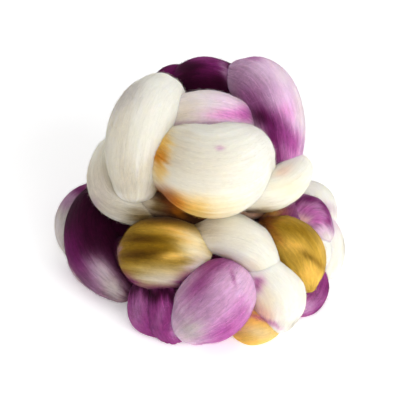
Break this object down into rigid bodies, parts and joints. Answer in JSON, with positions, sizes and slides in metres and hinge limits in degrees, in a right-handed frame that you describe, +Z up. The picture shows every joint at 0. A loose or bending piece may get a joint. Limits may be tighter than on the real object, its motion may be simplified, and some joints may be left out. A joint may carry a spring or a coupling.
{
  "type": "wool roving",
  "caption": "Length of hand-dyed combed wool roving, braided on itself and wound into a two-tier bun, in cream, plum, mauve and olive gold.",
  "frame": {"origin": "middle of the footprint, on the surface that the bun rests on", "axes": "+Z up, -Y out of the front, which the big white pass of the upper tier faces, +X to the right as seen from there"},
  "size_m": [0.1976, 0.1738, 0.1297],
  "materials": {
    "dyed_wool": "matt, with the soft sheen of combed fibres"
  },
  "bodies": {
    "root": {"roving": "dyed_wool"}
  },
  "joints": []
}
